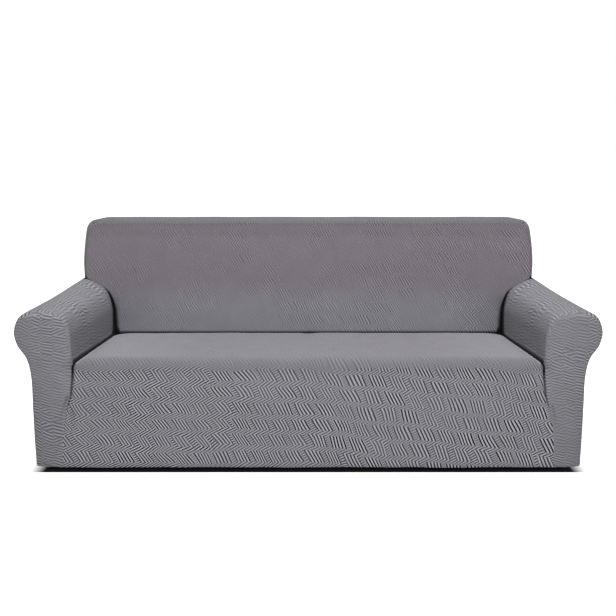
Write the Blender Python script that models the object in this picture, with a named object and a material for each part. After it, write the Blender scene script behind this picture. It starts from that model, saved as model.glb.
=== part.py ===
"""Stretch slipcover for a three-seat sofa with rolled arms.

Ten panels of knitted cloth, sewn edge to edge into one cover that is hollow and open below.
Metres, +X across the sofa, +Y to its rear, +Z up.  The sizes below are taken from the floor and
from the front of the sofa; the finished cover is moved so that its origin lies under the cloth at
the middle of the backrest's top, which is what holds it up.
"""
from collections import namedtuple
from math import cos, radians, sin

import bmesh
import bpy
from mathutils import Vector

# ---- driving dimensions -------------------------------------------------------------------------
CLOTH = 0.002              # thickness of the knitted cloth
SEAM_GAP = 0.0003          # clearance between two panels along their seam
CORNER_GAP = 0.0008        # the same where three panels meet
SAME_POINT = 0.00002       # points of two panels closer than this are one point of their seam
STEEPEST = 0.6             # the cut edge of a folded seam is at most 1 / this times the cloth
SEAT_Z = 0.435             # height of the seat
SEAT_CROWN = 0.006         # rise of the seat's middle over its edges
LIP_RADIUS = 0.040         # rounding of the seat's front edge
TUCK = 0.025               # how deep the cloth is pushed in around the seat
BACK_FOOT_Y = 0.612        # where the backrest's face meets the seat
BACK_LEAN = 0.11           # metres back for each metre up
BACK_ROLL_Z = 0.880        # from here up the face rolls back to the top seam
BACK_ROLL = 2.2            # how fast it rolls back
BACK_TOP_Z = 0.957
BACK_ROUND = 0.012         # how far the face's edge rolls back to its side seam
REAR_Y = 0.880
FRONT_Y = -0.006           # the skirt and the arm fronts stand this far before the arm seams
FRONT_SEAM_Y = 0.006
REAR_SEAM_Y = 0.872
SKIRT_BULGE_RUN = 0.100    # the skirt comes forward to FRONT_Y over this height
HEM_TOP_Z = 0.045          # where the skirt begins to turn under
HEM_Z = 0.0145             # the hem's lowest edge
MOUNT_Y = 0.780            # the middle of the backrest's top

# ---- the arm's outline, seen from the front -----------------------------------------------------
# One row for each place along the cloth, from the seat seam over the roll and down to the hem:
# half-width and height at the front of the arm, and the same where it meets the backrest.
ArmRow = namedtuple("ArmRow", "front_x front_z rear_x rear_z")
ARM_ROWS = (
    ArmRow(0.9200, 0.4050, 0.8920, 0.4100),     # seat seam
    ArmRow(0.9255, 0.4750, 0.8940, 0.4900),     # inner wall
    ArmRow(0.9350, 0.5550, 0.9020, 0.5620),
    ArmRow(0.9660, 0.6070, 0.9370, 0.6320),     # inside of the roll
    ArmRow(1.0450, 0.6240, 1.0290, 0.6750),     # crest
    ArmRow(1.1270, 0.6060, 1.0640, 0.6470),
    ArmRow(1.1520, 0.5450, 1.0800, 0.5800),     # widest
    ArmRow(1.1360, 0.4870, 1.0800, 0.5000),
    ArmRow(1.0990, 0.4340, 1.0780, 0.4220),     # neck under the roll
    ArmRow(1.0810, 0.3600, 1.0760, 0.3450),
    ArmRow(1.0745, 0.2500, 1.0725, 0.2450),
    ArmRow(1.0675, 0.1300, 1.0670, 0.1300),
    ArmRow(1.0600, HEM_TOP_Z, 1.0600, HEM_TOP_Z),
    ArmRow(1.0300, HEM_Z, 1.0300, HEM_Z),       # hem, turned under
)
STEPS = 2                  # mesh steps between two rows
CREST = 4 * STEPS
HEM = (len(ARM_ROWS) - 1) * STEPS
HEM_TOP = HEM - STEPS

# ---- stations along the arm, front to rear ------------------------------------------------------
# share of the way from the front seam to the backrest, and how far the outline is drawn in
Station = namedtuple("Station", "share inset")
ARM_STATIONS = (
    Station(0.000, 0.010),
    Station(0.012, 0.003),
    Station(0.040, 0.000),
    Station(0.200, 0.000),
    Station(0.380, 0.000),
    Station(0.560, 0.000),
    Station(0.740, 0.000),
    Station(0.910, 0.000),
    Station(0.950, 0.000),
    Station(0.975, 0.000),
    Station(1.000, 0.000),
)
BACK_STATION = len(ARM_STATIONS) - 1
# from the backrest's face to the rear: the arm's outside, and the backrest's end and top
CAP_STATIONS = (
    Station(0.00, 1.00),
    Station(0.09, 0.25),
    Station(0.50, 0.00),
    Station(0.91, 0.25),
    Station(1.00, 1.00),
)
REAR_INSET = 0.010         # how far the arm's outline is drawn in at the rear corner

# ---- the backrest's outline above the arm, seen from the front ----------------------------------
# full half-width and height, and the same at the seam around its face
CapRow = namedtuple("CapRow", "x z seam_x seam_z")
CAP_SIDE = (
    CapRow(1.0390, 0.6750, 1.0290, 0.6750),     # the arm's crest
    CapRow(1.0460, 0.7450, 1.0330, 0.7430),
    CapRow(1.0450, 0.8100, 1.0320, 0.8070),
    CapRow(1.0400, 0.8700, 1.0270, 0.8640),
    CapRow(1.0310, 0.9180, 1.0170, 0.9080),
    CapRow(1.0090, 0.9460, 0.9970, 0.9320),     # top corner
)
CAP_DROP = 0.015           # from the top to the seam below its front edge
CAP_CORNER = 0.090         # length over which the top runs out into its corner
CAP_TOP = len(CAP_SIDE) - 1

# ---- cloth across the sofa ----------------------------------------------------------------------
# distance from the side seam and share of the tuck's depth there
Edge = namedtuple("Edge", "offset depth")
EDGES = (Edge(0.000, 1.00), Edge(0.004, 0.44), Edge(0.011, 0.12), Edge(0.028, 0.00))
MIDDLE_STEPS = 12
ACROSS = MIDDLE_STEPS + 2 * (len(EDGES) - 1)
BACK_EDGE_FOOT = 2.2       # the gap beside the backrest is this much wider at the seat
BACK_TUCK = 0.030          # depth of that gap at the seat

# ---- the skirt's side seam ----------------------------------------------------------------------
SkirtRow = namedtuple("SkirtRow", "z x tuck")
SKIRT_ROWS = (
    SkirtRow(0.3950, 0.9200, 0.0250),
    SkirtRow(0.3450, 0.9215, 0.0180),
    SkirtRow(0.2900, 0.9260, 0.0120),
    SkirtRow(0.2350, 0.9410, 0.0080),
    SkirtRow(0.1800, 0.9480, 0.0045),
    SkirtRow(0.1300, 0.9500, 0.0020),
    SkirtRow(0.0850, 0.9510, 0.0010),
    SkirtRow(HEM_TOP_Z, 0.9515, 0.0005),
    SkirtRow(0.0220, 0.9515, 0.0000),
    SkirtRow(HEM_Z, 0.9515, 0.0000),
)
LIP_ANGLES = (0.0, 30.0, 60.0)          # degrees round the seat's front edge, down to the arm seam
SHARP = radians(50)        # a crease sharper than this is not shaded smooth
FOLD = radians(20)         # a seam that turns in by more than this is sewn in a fold
HEM_TURNS = {HEM_TOP_Z: 0.0, 0.0220: 0.007, HEM_Z: 0.033}
# share of the way across an arm front, and how much of its edge's depth is left there
FRONT_COLUMNS = (
    Edge(0.00, 1.00),
    Edge(0.08, 0.25),
    Edge(0.30, 0.00),
    Edge(0.62, 0.00),
    Edge(0.92, 0.25),
    Edge(1.00, 1.00),
)

# ---- panels and the grey of their cloth, linear --------------------------------------------------
Panel = namedtuple("Panel", "name grey")
PANELS = (
    Panel("seat_and_skirt", 0.24),
    Panel("inside_back", 0.19),
    Panel("back_band", 0.20),
    Panel("back_end_right", 0.20),
    Panel("back_end_left", 0.20),
    Panel("outside_back", 0.20),
    Panel("arm_panel_right", 0.22),
    Panel("arm_panel_left", 0.22),
    Panel("arm_front_right", 0.23),
    Panel("arm_front_left", 0.23),
)
NAMES = [panel.name for panel in PANELS]
BLUE_TINT = 1.06


# ---- curves -------------------------------------------------------------------------------------
def mix(start, end, share):
    return start + (end - start) * share


def spline(rows, place):
    """A smooth curve through a table's rows, read at a place counted in rows."""
    index = min(int(place), len(rows) - 2)
    share = place - index
    before, start, end, after = (rows[min(max(index + step, 0), len(rows) - 1)] for step in (-1, 0, 1, 2))
    values = []
    for a, b, c, d in zip(before, start, end, after):
        bend = 2 * a - 5 * b + 4 * c - d + (3 * b - a - 3 * c + d) * share
        values.append(b + 0.5 * share * (c - a + share * bend))
    return values


def back_face_y(z):
    """The face of the backrest leans back, and rolls over at its top."""
    roll = max(0.0, z - BACK_ROLL_Z)
    return BACK_FOOT_Y + BACK_LEAN * max(0.0, z - SEAT_Z) + BACK_ROLL * roll * roll


def seat_z(across, along):
    """Height of the seat, at a share of its half-width and a share of its depth."""
    return SEAT_Z + SEAT_CROWN * (1 - abs(across) ** 4) * (1 - abs(2 * along - 1) ** 4)


# ---- the arm ------------------------------------------------------------------------------------
def arm_outline(place, share):
    """Half-width and height of the arm at a place along the cloth, between its front and rear."""
    row = spline(ARM_ROWS, place / STEPS)
    return Vector((mix(row[0], row[2], share), mix(row[1], row[3], share)))


def arm_drawn_in(place, share, inset):
    """The same outline, drawn in square to itself."""
    point = arm_outline(place, share)
    tangent = arm_outline(min(place + 0.5, HEM), share) - arm_outline(max(place - 0.5, 0), share)
    outward = Vector((-tangent.y, tangent.x)).normalized()
    fade = min(1.0, max(0.0, (HEM - place) / (2 * STEPS))) * min(1.0, place / STEPS)
    return point - outward * inset * fade


def hem_turn(place):
    """How far the hem has turned in under the cover."""
    return arm_outline(HEM_TOP, 0).x - arm_outline(place, 0).x if place > HEM_TOP else 0.0


def rear_tuck(place):
    """Depth of the gap between the arm and the backrest, deepest at the seat."""
    return mix(BACK_TUCK, BACK_ROUND, min(place / CREST, 1.0))


def arm_point(place, station):
    """A point of the arm's cloth; stations past the last one run on beside the backrest."""
    if place == 0:
        return seat_side_seam(BACK_STATION - station)
    crest_y = back_face_y(ARM_ROWS[CREST // STEPS].rear_z) + BACK_ROUND
    beyond = station - BACK_STATION
    if beyond > 0:
        if place == CREST:
            return cap_point(0, beyond)
        step = CAP_STATIONS[beyond]
        edge = step.inset * REAR_INSET if step.share > 0.5 else 0.0
        point = arm_drawn_in(place, 1.0, edge)
        return Vector((point.x, mix(crest_y, REAR_SEAM_Y - hem_turn(place), step.share), point.y))
    share, inset = ARM_STATIONS[station]
    point = arm_drawn_in(place, share, inset)
    rear_y = crest_y
    if place < CREST:
        rear_y = back_face_y(arm_outline(place, 1.0).y) + rear_tuck(place)
    return Vector((point.x, mix(FRONT_SEAM_Y + hem_turn(place), rear_y, share), point.y))


def arm_rows():
    """The arm's cloth up to the backrest, and its outer half from there to the rear."""
    inner = [[arm_point(place, station) for place in range(HEM + 1)] for station in range(BACK_STATION + 1)]
    stations = range(BACK_STATION, BACK_STATION + len(CAP_STATIONS))
    outer = [[arm_point(place, station) for place in range(CREST, HEM + 1)] for station in stations]
    return inner, outer


# ---- the seat and its skirt ---------------------------------------------------------------------
def seat_section(row, across):
    """Point and outward normal of the seat's cloth on a row, counted from the rear seam."""
    lip = BACK_STATION - len(LIP_ANGLES) + 1
    if row < lip:
        share = ARM_STATIONS[BACK_STATION - row].share
        lip_share = ARM_STATIONS[BACK_STATION - lip].share
        y = mix(LIP_RADIUS, BACK_FOOT_Y, (share - lip_share) / (1 - lip_share))
        return Vector((y, seat_z(across, share))), Vector((0.0, 1.0))
    if row <= BACK_STATION:
        angle = radians(LIP_ANGLES[row - lip])
        normal = Vector((-sin(angle), cos(angle)))
        return Vector((LIP_RADIUS, SEAT_Z - LIP_RADIUS)) + normal * LIP_RADIUS, normal
    z = SKIRT_ROWS[row - BACK_STATION - 1].z
    bulge = FRONT_Y * min(1.0, (SEAT_Z - LIP_RADIUS - z) / SKIRT_BULGE_RUN)
    return Vector((bulge + HEM_TURNS.get(z, 0.0), z)), Vector((-1.0, 0.0))


def seat_half_width(row):
    if row > BACK_STATION:
        return SKIRT_ROWS[row - BACK_STATION - 1].x
    return mix(ARM_ROWS[0].front_x, ARM_ROWS[0].rear_x, ARM_STATIONS[BACK_STATION - row].share)


def seat_point(row, column):
    """A point of the seat and skirt: rows run from the rear seam forwards and down to the hem."""
    if row == 0:
        return back_point(0, column)
    side, edge, share = across_sofa(column)
    half = seat_half_width(row)
    x = side * (half - edge.offset) if edge else share * (half - EDGES[-1].offset)
    section, normal = seat_section(row, x / half)
    side_tuck = TUCK if row <= BACK_STATION else SKIRT_ROWS[row - BACK_STATION - 1].tuck
    rear_share = EDGES[row].depth if row < len(EDGES) else 0.0
    depth = max(side_tuck * (edge.depth if edge else 0.0), TUCK * rear_share)
    section = section - normal * depth
    return Vector((x, section.x, section.y))


def seat_side_seam(row):
    return seat_point(row, ACROSS)


def across_sofa(column):
    """Side, edge row and share of the half-width of a column, counted from the left."""
    from_side = min(column, ACROSS - column)
    side = 1 if column > ACROSS / 2 else -1
    if from_side < len(EDGES):
        return side, EDGES[from_side], side
    middle = column - (len(EDGES) - 1)
    return side, None, 2 * middle / MIDDLE_STEPS - 1


# ---- the backrest -------------------------------------------------------------------------------
def back_point(row, column):
    """A point of the backrest's face: the arm's crest is its eighth row, the top seam its last."""
    side, edge, share = across_sofa(column)
    if row <= CREST:
        outline = arm_outline(row, 1.0)
        half, edge_z = outline.x, outline.y
        if row == 0:
            edge_z = SEAT_Z - TUCK
        middle_z = mix(SEAT_Z - TUCK, CAP_SIDE[0].seam_z, row / CREST)
        spread = mix(BACK_EDGE_FOOT, 1.0, row / CREST)
        tuck = rear_tuck(row)
    else:
        seam = CAP_SIDE[row - CREST]
        half, edge_z = seam.seam_x, seam.seam_z
        middle_z = edge_z + (BACK_TOP_Z - CAP_DROP - CAP_SIDE[-1].seam_z) * (row - CREST) / CAP_TOP
        spread = 1.0 + (row - CREST) / CAP_TOP
        tuck = BACK_ROUND
    reach = EDGES[-1].offset * spread
    x = side * (half - edge.offset * spread) if edge else share * (half - reach)
    inward = min(1.0, (half - abs(x)) / CAP_CORNER)
    z = mix(edge_z, middle_z, inward * (2 - inward))
    depth = tuck * (edge.depth if edge else 0.0)
    return Vector((x, back_face_y(z) + depth, z))


def cap_point(index, station):
    """A point of the backrest's right end and top: along its outline, and from its face to the rear."""
    share, inset = CAP_STATIONS[station]
    top = index - CAP_TOP
    if top <= 0:
        seam = back_point(CREST + index, ACROSS)
        full = Vector((CAP_SIDE[index].x, 0.0, CAP_SIDE[index].z))
    else:
        seam = back_point(CREST + CAP_TOP, ACROSS - top)
        corner = CAP_SIDE[-1]
        inward = min(1.0, (corner.seam_x - abs(seam.x)) / CAP_CORNER)
        rise = inward * (2 - inward)
        spread = mix(corner.x / corner.seam_x, 1.0, rise)
        full = Vector((seam.x * spread, 0.0, mix(corner.z, BACK_TOP_Z, rise)))
    y = mix(seam.y, REAR_SEAM_Y, share)
    return Vector((mix(full.x, seam.x, inset), y, mix(full.z, seam.z, inset)))


def end_rows():
    """The backrest's right end, from the arm's crest up to the top corner."""
    return [[cap_point(index, station) for index in range(CAP_TOP + 1)] for station in range(len(CAP_STATIONS))]


def band_rows():
    """The band over the backrest, from one top corner to the other."""
    columns = range(CAP_TOP, CAP_TOP + ACROSS + 1)
    return [[cap_point(index, station) for index in columns] for station in range(len(CAP_STATIONS))]


def rear_rows():
    """The rear face, from the top's rear edge down to the hem."""
    last = len(CAP_STATIONS) - 1
    arm_last = BACK_STATION + last
    rows = [[cap_point(CAP_TOP + ACROSS - column, last) for column in range(ACROSS + 1)]]
    edges = [cap_point(index, last) for index in reversed(range(CAP_TOP))]
    edges += [arm_point(place, arm_last) for place in range(CREST + 1, HEM + 1)]
    for corner in edges:
        turn = REAR_SEAM_Y - corner.y
        row = []
        for column in range(ACROSS + 1):
            side, edge, share = across_sofa(column)
            half = corner.x
            x = side * (half - 2 * edge.offset) if edge else share * (half - 2 * EDGES[-1].offset)
            stand = (REAR_Y - REAR_SEAM_Y) * (1 - edge.depth if edge else 1.0)
            row.append(Vector((x, REAR_SEAM_Y + stand - turn, corner.z)))
        rows.append(row)
    return rows


# ---- the arm's front ----------------------------------------------------------------------------
def arm_front_rows():
    """Rungs from the skirt's seam across to the outer edge, from the hem up to the crest."""
    bottom = BACK_STATION + len(SKIRT_ROWS)
    inner = [seat_side_seam(row) for row in range(bottom, BACK_STATION - 1, -1)]
    inner += [arm_point(place, 0) for place in range(1, CREST + 1)]
    outer = [arm_point(place, 0) for place in range(HEM, CREST - 1, -1)]
    rows = []
    for start, end in zip(inner, outer):
        turn = HEM_TURNS.get(round(start.z, 4), 0.0)
        face = FRONT_Y + turn
        row = []
        for column in FRONT_COLUMNS:
            edge_y = mix(start.y, end.y, column.offset)
            place = mix(start, end, column.offset)
            row.append(Vector((place.x, mix(face, edge_y, column.depth), place.z)))
        rows.append(row)
    rows[-1] = [outer[-1]] * len(FRONT_COLUMNS)
    return rows


# ---- sewing the panels together -----------------------------------------------------------------
def lay_grid(cover, rows, panel):
    """A flat grid of cloth, laid point by point on its shape."""
    across, along = len(rows[0]), len(rows)
    made = bmesh.ops.create_grid(cover, x_segments=across - 1, y_segments=along - 1, size=1.0)
    places = [place for row in rows for place in row]
    for vert, place in zip(made["verts"], places):
        vert.co = place
    for face in {face for vert in made["verts"] for face in vert.link_faces}:
        face.material_index = NAMES.index(panel)


def mirror_rows(rows):
    return [[Vector((-place.x, place.y, place.z)) for place in row] for row in rows]


def cover_surface():
    """The outer surface of the whole cover, each face marked with its panel."""
    cover = bmesh.new()
    columns = range(ACROSS + 1)
    seat_rows = range(BACK_STATION + 1 + len(SKIRT_ROWS))
    back_rows = range(CREST + CAP_TOP + 1)
    lay_grid(cover, [[seat_point(row, column) for column in columns] for row in seat_rows], "seat_and_skirt")
    lay_grid(cover, [[back_point(row, column) for column in columns] for row in back_rows], "inside_back")
    lay_grid(cover, band_rows(), "back_band")
    lay_grid(cover, rear_rows(), "outside_back")
    for side, turn in (("right", lambda rows: rows), ("left", mirror_rows)):
        for rows in arm_rows():
            lay_grid(cover, turn(rows), f"arm_panel_{side}")
        lay_grid(cover, turn(arm_front_rows()), f"arm_front_{side}")
        lay_grid(cover, turn(end_rows()), f"back_end_{side}")
    bmesh.ops.remove_doubles(cover, verts=cover.verts, dist=SAME_POINT)
    bmesh.ops.recalc_face_normals(cover, faces=cover.faces)
    highest = max(cover.faces, key=lambda face: face.calc_center_median().z)
    if highest.normal.z < 0:
        bmesh.ops.reverse_faces(cover, faces=cover.faces)
    cover.normal_update()
    return cover


def own_normal(vert, faces):
    total = Vector()
    for face in faces:
        loop = next(loop for loop in face.loops if loop.vert == vert)
        total += face.normal * loop.calc_angle()
    return total.normalized()


def sewn_edges(vert, inside):
    """The seam's edges at a point of a panel, whose faces are given."""
    return [edge for edge in vert.link_edges
            if len(edge.link_faces) == 2 and len(inside.intersection(edge.link_faces)) == 1]


def in_fold(edge):
    """Whether a seam lies at the bottom of a fold."""
    return edge.calc_face_angle_signed() < -FOLD


def seam_shift(vert, edges, inside):
    """Half the seam's clearance, away from the neighbouring panels and square to the shared normal."""
    ways = []
    for edge in edges:
        along = (edge.other_vert(vert).co - vert.co).normalized()
        mine, other = sorted(edge.link_faces, key=lambda face: face not in inside)
        way = mine.calc_center_median() - other.calc_center_median()
        way -= vert.normal * way.dot(vert.normal)
        way -= along * way.dot(along)
        ways.append(way.normalized())
    if not ways:
        return Vector()
    mitre = max(0.5, 1 + ways[0].dot(ways[-1])) if len(ways) > 1 else 1.0
    panels = {face.material_index for face in vert.link_faces}
    clearance = CORNER_GAP if len(panels) > 2 else SEAM_GAP
    return sum(ways, Vector()) / mitre * clearance / 2


def add_rim(solid, outer, inner, start, end):
    """The cut edge of the cloth, split the same way on both panels and both sides of the sofa."""
    if (start.co.z, start.co.y, abs(start.co.x)) < (end.co.z, end.co.y, abs(end.co.x)):
        solid.faces.new([outer[end], outer[start], inner[end]])
        solid.faces.new([outer[start], inner[start], inner[end]])
    else:
        solid.faces.new([outer[end], outer[start], inner[start]])
        solid.faces.new([outer[end], inner[start], inner[end]])


def panel_mesh(cover, panel, name):
    """One panel as a closed solid: its outer face, the same moved in by the cloth, and its rim."""
    faces = [face for face in cover.faces if face.material_index == panel]
    solid = bmesh.new()
    outer, inner = {}, {}
    for vert in {vert for face in faces for vert in face.verts}:
        mine = [face for face in vert.link_faces if face.material_index == panel]
        shared = vert.normal.copy()
        own = own_normal(vert, mine)
        inside = set(mine)
        edges = sewn_edges(vert, inside)
        panels = {face.material_index for face in vert.link_faces}
        folded = len(panels) == 2 and all(in_fold(edge) for edge in edges)
        direction = own if folded else shared
        place = vert.co + seam_shift(vert, edges, inside)
        depth = CLOTH / max(direction.dot(own), STEEPEST)
        outer[vert] = solid.verts.new(place)
        inner[vert] = solid.verts.new(place - direction * depth)
    for face in faces:
        solid.faces.new([outer[vert] for vert in face.verts])
        solid.faces.new([inner[vert] for vert in reversed(face.verts)])
        for loop in face.loops:
            if len([other for other in loop.edge.link_faces if other.material_index == panel]) == 1:
                add_rim(solid, outer, inner, loop.vert, loop.link_loop_next.vert)
    mesh = bpy.data.meshes.new(name)
    solid.to_mesh(mesh)
    solid.free()
    return mesh


# ---- the model ----------------------------------------------------------------------------------
def cloth_material(panel):
    material = bpy.data.materials.new(f"knit_{panel.name}")
    material.use_nodes = True
    shader = material.node_tree.nodes["Principled BSDF"]
    shader.inputs["Base Color"].default_value = (panel.grey, panel.grey, panel.grey * BLUE_TINT, 1.0)
    shader.inputs["Roughness"].default_value = 0.9
    shader.inputs["Metallic"].default_value = 0.0
    return material


def build():
    for old in list(bpy.data.objects):
        bpy.data.objects.remove(old)
    collection = bpy.data.collections.new("sofa_slipcover")
    bpy.context.scene.collection.children.link(collection)
    cover = cover_surface()
    mount = Vector((0.0, MOUNT_Y, BACK_TOP_Z - CLOTH))
    bmesh.ops.translate(cover, verts=cover.verts, vec=-mount)
    for index, panel in enumerate(PANELS):
        mesh = panel_mesh(cover, index, panel.name)
        mesh.materials.append(cloth_material(panel))
        mesh.shade_smooth()
        mesh.set_sharp_from_angle(angle=SHARP)
        collection.objects.link(bpy.data.objects.new(panel.name, mesh))
    cover.free()


build()
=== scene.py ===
"""Looks of a stretch slipcover for a three-seat sofa with rolled arms, laid out as a Blender add-on.

The cover is ten panels of knitted cloth, sewn edge to edge.  Its shape is worked out from short
tables of sections, in metres from the floor and from the front of the sofa, +X across, +Y to the
rear, +Z up.  It is then moved so that the origin lies under the cloth at the middle of the
backrest's top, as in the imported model.
"""

from bisect import bisect
from collections import namedtuple
from functools import lru_cache
from math import copysign, cos, radians, sin

import bmesh
import bpy
import numpy as np
from bpy.props import FloatProperty, FloatVectorProperty, PointerProperty
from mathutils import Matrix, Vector, noise
from mathutils.kdtree import KDTree


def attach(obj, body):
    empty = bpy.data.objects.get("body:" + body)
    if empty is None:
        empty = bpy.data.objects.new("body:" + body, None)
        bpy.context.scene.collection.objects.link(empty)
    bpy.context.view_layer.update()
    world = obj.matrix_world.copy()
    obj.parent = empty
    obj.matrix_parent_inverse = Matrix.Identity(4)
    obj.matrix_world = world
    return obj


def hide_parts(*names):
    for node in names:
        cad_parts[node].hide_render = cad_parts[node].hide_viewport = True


bl_info = {
    "name": "Sofa Slipcover",
    "version": (1, 0, 0),
    "blender": (4, 5, 0),
    "location": "3D Viewport > Sidebar > Slipcover",
    "description": "Dresses the slipcover's panels in stretch jacquard knit and sets up a plain studio",
    "category": "Object",
}

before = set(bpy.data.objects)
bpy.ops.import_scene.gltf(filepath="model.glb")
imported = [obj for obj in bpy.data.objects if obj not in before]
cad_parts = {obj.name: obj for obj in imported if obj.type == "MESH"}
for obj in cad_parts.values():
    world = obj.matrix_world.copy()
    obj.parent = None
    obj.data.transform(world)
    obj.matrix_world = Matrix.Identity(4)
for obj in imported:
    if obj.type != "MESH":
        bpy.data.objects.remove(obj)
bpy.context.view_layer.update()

# ---- the shape's driving sizes ----
SEAT_Z = 0.435             # height of the seat
SEAT_CROWN = 0.006         # rise of the seat's middle over its edges
CROWN_POWER = 4
LIP_RADIUS = 0.040         # rounding of the seat's front edge
LIP_ANGLE = radians(60)    # how far round that edge the arm's seam reaches
LIP_SHARE = 0.04           # share of the arm's depth that the rounding takes
LIP_EASE = 1.5             # how fast it turns there
TUCK = 0.025               # how deep the cloth is pushed in around the seat
EDGE_RUN = 0.028           # width over which the cloth rounds down into a tuck
EDGE_POWER = 4.6           # how sharply it does along a soft edge
SLOT_RUN = 0.0105          # beside the seat it drops steeply within this distance
SLOT_SHARE = 0.68          # and this share of the depth is in that drop
SLOT_POWER = 2.2
SLOT_EDGE_POWER = 2.5      # how sharply the rest of it does
SHOULDER_FRONT = 0.0195    # how far the seat's edges sink beside the arms, of that depth
SHOULDER_REAR = 0.013
SHOULDER_RUN = 0.100       # and over what width
REAR_RUN = 0.051           # the same width along the seat's rear
BACK_FOOT_Y = 0.612        # where the backrest's face meets the seat
BACK_LEAN = 0.11           # metres back for each metre up
BACK_ROLL_Z = 0.880        # from here up the face rolls back to the top seam
BACK_ROLL = 2.2
BACK_TOP_Z = 0.952
BACK_ROUND = 0.012         # how far the face's edge rolls back to its side seam
BACK_TUCK = 0.030          # depth of the gap beside the backrest at the seat
BACK_EDGE_FOOT = 2.2       # and how much wider it is there
CORNER_RUN = 0.030         # depth over which the seat's rear corners run into that gap
REAR_Y = 0.880
FRONT_Y = -0.006           # the skirt and the arm fronts stand this far before the arm seams
FRONT_SEAM_Y = 0.006
REAR_SEAM_Y = 0.872
SKIRT_BULGE_RUN = 0.100    # the skirt comes forward to FRONT_Y over this height
SKIRT_SHOULDER = (0.34, 0.405)   # between these heights the seat's soft shoulder starts
HEM_TOP_Z = 0.045          # where the skirt begins to turn under
ARM_EDGE_INSET = 0.010     # rounding of the arm's front edge: how far it is drawn in
ARM_EDGE_RUN = 0.024       # and over what depth
ARM_EDGE_POWER = 3.5
FRONT_RUN = 0.074          # width over which an arm front rounds back to its seams
FRONT_POWER = 2.0
FOOT_ROWS = 0.5            # the arm's wall runs down into the seat's tuck over this many rows
CAP_DROP = 0.015           # from the top to the seam below its front edge
CAP_CORNER = 0.055         # length over which the top runs out into its corner
CAP_POWER = 7
REAR_SPREAD = 2.0          # the rear's edges are rounded over this many times EDGE_RUN
REAR_TOP_RUN = 0.030       # width over which the rear rounds in to its top seam
REAR_TOP_POWER = 4
ARM_HEM_TURN = 0.91        # the hem turns in this much less under the arm's outside
REAR_INSET = 0.010         # how far the outline is drawn in at the rear corner
ORIGIN = Vector((0.0, 0.780, 0.955))
CREST = 4                  # the arm's row at the top of its roll
NECK = 8                   # and under it
HEM_ROW = 12               # where the hem begins to turn under
CAP_ROWS = 5               # rows of the backrest's side above the arm
ROW_STEP = 0.25            # the arm's outline is followed over this many rows for its direction

# half-width and height of the arm's outline at its front, and the same where it meets the backrest,
# from the seat seam over the roll and down
ArmRow = namedtuple("ArmRow", "front_x front_z rear_x rear_z")
ARM_ROWS = (
    ArmRow(0.9200, 0.4050, 0.8920, 0.4100),     # seat seam
    ArmRow(0.9255, 0.4750, 0.8940, 0.4900),     # inner wall
    ArmRow(0.9350, 0.5550, 0.9020, 0.5620),
    ArmRow(0.9660, 0.6070, 0.9370, 0.6320),     # inside of the roll
    ArmRow(1.0450, 0.6230, 1.0290, 0.6750),     # crest
    ArmRow(1.1235, 0.6040, 1.0620, 0.6460),
    ArmRow(1.1500, 0.5450, 1.0790, 0.5800),     # widest
    ArmRow(1.1360, 0.4870, 1.0800, 0.5000),
    ArmRow(1.0990, 0.4340, 1.0780, 0.4220),     # neck under the roll
    ArmRow(1.0810, 0.3600, 1.0760, 0.3450),
    ArmRow(1.0745, 0.2500, 1.0725, 0.2450),
    ArmRow(1.0675, 0.1300, 1.0670, 0.1300),
    ArmRow(1.0600, HEM_TOP_Z, 1.0600, HEM_TOP_Z),
)
# half-width and height of the backrest above the arm, and the same at the seam round its face
CapRow = namedtuple("CapRow", "x z seam_x seam_z")
CAP_SIDE = (
    CapRow(1.0390, 0.6750, 1.0290, 0.6750),     # the arm's crest
    CapRow(1.0460, 0.7450, 1.0330, 0.7430),
    CapRow(1.0450, 0.8100, 1.0320, 0.8070),
    CapRow(1.0405, 0.8700, 1.0275, 0.8640),
    CapRow(1.0335, 0.9165, 1.0200, 0.9065),
    CapRow(1.0155, 0.9395, 1.0035, 0.9265),     # top corner
)
# the skirt's side seam, from the hem up: half-width, and how deep the cloth is drawn in there
SkirtRow = namedtuple("SkirtRow", "z x tuck")
SKIRT_ROWS = (
    SkirtRow(HEM_TOP_Z, 0.9515, 0.0005),
    SkirtRow(0.0850, 0.9510, 0.0010),
    SkirtRow(0.1300, 0.9500, 0.0020),
    SkirtRow(0.1800, 0.9470, 0.0030),
    SkirtRow(0.2350, 0.9380, 0.0050),
    SkirtRow(0.2900, 0.9225, 0.0085),
    SkirtRow(0.3450, 0.9190, 0.0150),
    SkirtRow(0.3950, 0.9200, 0.0250),
    SkirtRow(0.4150, 0.9200, 0.0250),
)
# the hem's section: share of the way round it, how far it has turned in, and its height
HemRow = namedtuple("HemRow", "share turn z")
HEM_ROWS = (
    HemRow(0.00, 0.0000, HEM_TOP_Z),
    HemRow(0.50, 0.0050, 0.0198),
    HemRow(1.00, 0.0330, 0.0145),
)

# ---- the mesh's steps ----
STEP = 0.0088                                                      # usual distance between points
FINE = (0.0, 0.0016, 0.0034, 0.0056, 0.0084, 0.0120, 0.0165, 0.0220, EDGE_RUN)   # beside a seam
ARM_DEPTH = 0.606
UPPER_ARM = 0.290          # length of the cloth from the seat seam to the crest
SKIRT_DROP = 0.370
BACK_SIDE = 0.280
BAND_WIDTH = 0.205
ARM_FRONT_WIDTH = 0.150
MIDDLE_COLUMNS = 204
MIDDLE_EASE = 0.20         # columns stand closer together at the sides of the sofa
HEM_STEPS = 6
SAME_POINT = 0.00002       # points closer than this are one

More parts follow.
